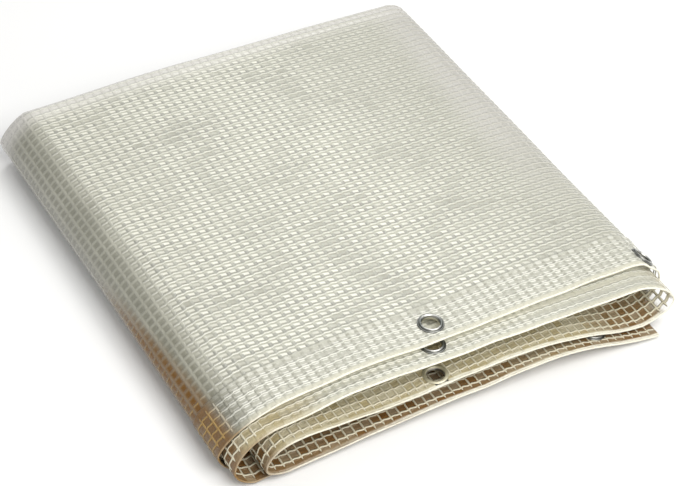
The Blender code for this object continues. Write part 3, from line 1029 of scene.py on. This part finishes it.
class TarpHemSettings(bpy.types.PropertyGroup):
    rim: length("Rim radius", "Radius of the rolled front rim", 0.0009)
    thickness: length("Thickness", "Thickness of the welded band", 0.0016)
    colour: colour("Hem", "Welded film", (0.75, 0.745, 0.65))
    shade: colour("Hem shade", "Duller patches", (0.62, 0.615, 0.53))
    # Painted highlights: the wet-looking dashes and the sparkles along the weld.
    bright: colour("Wet dashes", "Wet dashes and weld marks", (0.97, 0.965, 0.88))
    rim_colour: colour("Rim", "Rolled front rim", (0.91, 0.885, 0.76))
    rim_loop: colour("Loop rim", "Rim of the open loops at the left", (0.27, 0.155, 0.045))
    lip: colour("Lip", "Cream band behind the rim", (0.74, 0.71, 0.56))
    # Painted shadow in the square behind each crossing.
    corner_shadow: colour("Corner", "Dull square at a cell's corner", (0.41, 0.405, 0.34))
    # Painted shade of the left wall.
    wall: colour("Left wall", "Darker film of the left wall", (0.20, 0.192, 0.14))
    # Rust-brown at the wall's foot, partly a painted reflection of the brown surface below.
    foot: colour("Wall's foot", "Rusty foot of the left wall", (0.16, 0.07, 0.008))
    through: colour("Light through", "Light let through by the layer above", (0.16, 0.15, 0.115))
    # Painted shade and a painted reflection of the brown surface below, inside the packet and next
    # to the floor.
    low: colour("Low hem", "Warmer film in the lower layers", (0.42, 0.345, 0.18))
    lowest: colour("Lowest hem", "Brown film next to the floor", (0.165, 0.072, 0.015))
    cover: share("Cover", "How much the band hides", 0.58)


class TarpEyeletSettings(bpy.types.PropertyGroup):
    hole_radius: length("Hole radius", "Radius of the clear hole", 0.0080)
    flange_radius: length("Flange radius", "Radius of the flange", 0.0118)
    seat: length("Seat", "Height of the flange's underside off the hem's middle", 0.0010)
    # The bright and the dark plate make a painted reflection round the ring.
    colour: colour("Metal", "Bright plate", (0.64, 0.64, 0.61))
    dull: colour("Dull metal", "Tarnished plate", (0.20, 0.21, 0.20))
    # Painted shade in the groove and at the turned edge.
    groove: colour("Groove", "Dirt in the groove and at the edge", (0.09, 0.09, 0.08))
    washer: colour("Washer", "Dull plate of the washer's side", (0.72, 0.68, 0.52))


class TarpStageSettings(bpy.types.PropertyGroup):
    floor: colour("Floor", "Plain floor", (0.90, 0.90, 0.90))
    sky: bpy.props.FloatProperty(name="Sky", description="Strength of the even light",
                                 default=0.53, min=0.0, max=10.0)
    key: power("Key light", "Power of the main light", 34.0)
    fill: power("Front fill", "Power of the low front light", 2.2)
    back: power("Back light", "Power of the back light", 8.0)


class TARP_OT_film(bpy.types.Operator):
    """Make the folded film behind the hem, in place of the plain cloth"""
    bl_idname = "tarp.film"
    bl_label = "Film"

    def execute(self, context):
        scene = context.scene
        film = film_mesh("film_sheet", scene.tarp_net, film_finish(scene.tarp_film))
        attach(film, "root")
        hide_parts("tarp_cloth")
        return {"FINISHED"}


class TARP_OT_net(bpy.types.Operator):
    """Make the threads of the net, on the film and in the hem"""
    bl_idname = "tarp.net"
    bl_label = "Net of threads"

    def execute(self, context):
        net = context.scene.tarp_net
        white = thread_finish("white_thread", net)
        behind = np.arange(HEM_CELLS + 1, math.floor(deepest(FRONT_NUMBERS).max()) + 1)
        within = np.arange(1.0, HEM_CELLS)
        film_face = context.scene.tarp_hem.thickness / 2
        pieces = [
            across_threads("threads_across", behind, *OUTSIDE, 4, net, white),
            across_threads("threads_across_inside", behind, FIRST, OUTSIDE[0], 1, net, white),
            across_threads("threads_across_base", behind, OUTSIDE[1], LAST, 1, net, white),
            depth_threads("threads_deep", HEM_CELLS, 59.0, 1.5, net, white),
            across_threads("hem_threads_across", within, FIRST, LAST, 4, net, white,
                           (film_face, -film_face)),
            depth_threads("hem_threads_deep", 0.3, 5.2, 0.49, net, white,
                          (film_face, -film_face)),
        ]
        for piece in pieces:
            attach(piece, "root")
        return {"FINISHED"}


class TARP_OT_hem(bpy.types.Operator):
    """Make the welded hem with its rolled front rim, in place of the plain strip"""
    bl_idname = "tarp.hem"
    bl_label = "Hem"

    def execute(self, context):
        hem = context.scene.tarp_hem
        band = hem_mesh("hem_band", hem, hem_finish(hem))
        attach(band, "root")
        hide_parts("hem_strip")
        return {"FINISHED"}


class TARP_OT_eyelets(bpy.types.Operator):
    """Make the turned eyelets, in place of the plain ones"""
    bl_idname = "tarp.eyelets"
    bl_label = "Eyelets"

    def execute(self, context):
        eye = context.scene.tarp_eyelet
        plate = metal_finish(eye)
        for name, seat in SEATS.items():
            ring = eyelet_mesh(name + "_ring", seat, eye, plate)
            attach(ring, "root")
            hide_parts(name)
        return {"FINISHED"}


class TARP_OT_declare(bpy.types.Operator):
    """Gather the names of the hem's threads and eyelet rings, and do nothing more with them"""
    bl_idname = "tarp.declare"
    bl_label = "Cut sizes"

    def execute(self, context):
        in_hem = ["hem_threads_across", "hem_threads_deep"]
        in_hem += [name + "_ring" for name in SEATS]
        return {"FINISHED"}


# Each light's place, size, the setting that holds its power, and tint. All face the origin.
LIGHTS = {
    "key": ((0.3, -1.15, 1.65), 1.5, "key", (1.0, 0.995, 0.97)),
    "back_light": ((0.7, 1.2, 1.3), 0.8, "back", (1.0, 1.0, 0.98)),
    "front_fill": ((-0.35, -1.55, 0.40), 1.0, "fill", (1.0, 0.985, 0.94)),
}
FLOOR_HALF_WIDTH = 4.0
# The camera was fitted to the spacing of the net's threads in the photograph
CAMERA_PLACE = (-0.61709, -1.09581, 1.10433)
CAMERA_TURN = ((0.8762, 0.3044, -0.3735), (-0.4814, 0.5861, -0.6517), (0.0205, 0.7509, 0.6601))
SENSOR_WIDTH, FOCAL_LENGTH = 36.0, 94.84      # millimetres


def add_light(name, place, size, power, tint):
    """Square area light that faces the origin."""
    lamp = bpy.data.lights.new(name, "AREA")
    lamp.shape, lamp.size, lamp.energy, lamp.color = "SQUARE", size, power, tint
    light = bpy.data.objects.new(name, lamp)
    light.location = place
    light.rotation_euler = (-Vector(place)).to_track_quat("-Z", "Y").to_euler()
    bpy.context.scene.collection.objects.link(light)


class TARP_OT_stage(bpy.types.Operator):
    """Make the plain floor, the soft lights and the camera"""
    bl_idname = "tarp.stage"
    bl_label = "Stage"

    def execute(self, context):
        stage = context.scene.tarp_stage
        half = FLOOR_HALF_WIDTH
        corners = np.array([(-half, -half, 0), (half, -half, 0), (half, half, 0),
                            (-half, half, 0)], float)
        floor = put_mesh("pale_floor", corners, np.array([[0, 1, 2, 3]]), corners[:, :2],
                         floor_finish(stage))
        world = bpy.data.worlds.new("soft_light")
        world.use_nodes = True
        back = world.node_tree.nodes["Background"]
        back.inputs["Color"].default_value = (1.0, 1.0, 1.0, 1.0)
        back.inputs["Strength"].default_value = stage.sky
        context.scene.world = world
        for name, (place, size, power_name, tint) in LIGHTS.items():
            add_light(name, place, size, getattr(stage, power_name), tint)
        context.scene.view_settings.view_transform = "Standard"
        lens = bpy.data.cameras.new("camera")
        lens.sensor_width, lens.lens = SENSOR_WIDTH, FOCAL_LENGTH
        lens.clip_start, lens.clip_end = 0.05, 50.0
        camera = bpy.data.objects.new("camera", lens)
        context.scene.collection.objects.link(camera)
        camera.rotation_mode = "QUATERNION"
        camera.location = CAMERA_PLACE
        camera.rotation_quaternion = Matrix(CAMERA_TURN).to_quaternion()
        context.scene.camera = camera
        return {"FINISHED"}


STEPS = (TARP_OT_film, TARP_OT_net, TARP_OT_hem, TARP_OT_eyelets, TARP_OT_stage,
         TARP_OT_declare)


class TARP_PT_sidebar(bpy.types.Panel):
    bl_label = "Folded mesh tarp"
    bl_idname = "TARP_PT_sidebar"
    bl_space_type = "VIEW_3D"
    bl_region_type = "UI"
    bl_category = "Mesh tarp"

    def draw(self, context):
        for step in STEPS:
            self.layout.operator(step.bl_idname)
        for name in SETTINGS:
            group = getattr(context.scene, name)
            box = self.layout.box()
            for key in group.bl_rna.properties.keys():
                if key not in {"rna_type", "name"}:
                    box.prop(group, key)


SETTINGS = {"tarp_net": TarpNetSettings, "tarp_film": TarpFilmSettings,
            "tarp_hem": TarpHemSettings, "tarp_eyelet": TarpEyeletSettings,
            "tarp_stage": TarpStageSettings}


def register():
    for name, group in SETTINGS.items():
        bpy.utils.register_class(group)
        setattr(bpy.types.Scene, name, bpy.props.PointerProperty(type=group))
    for kind in (*STEPS, TARP_PT_sidebar):
        bpy.utils.register_class(kind)


def unregister():
    for kind in reversed((*STEPS, TARP_PT_sidebar)):
        bpy.utils.unregister_class(kind)
    for name, group in reversed(SETTINGS.items()):
        delattr(bpy.types.Scene, name)
        bpy.utils.unregister_class(group)


def main():
    register()
    for thing in list(bpy.data.objects):
        if thing.name in {"Cube", "Light", "Camera"}:
            bpy.data.objects.remove(thing)
    bpy.ops.tarp.film()
    bpy.ops.tarp.net()
    bpy.ops.tarp.hem()
    bpy.ops.tarp.eyelets()
    bpy.ops.tarp.stage()
    bpy.ops.tarp.declare()


if __name__ == "__main__":
    main()
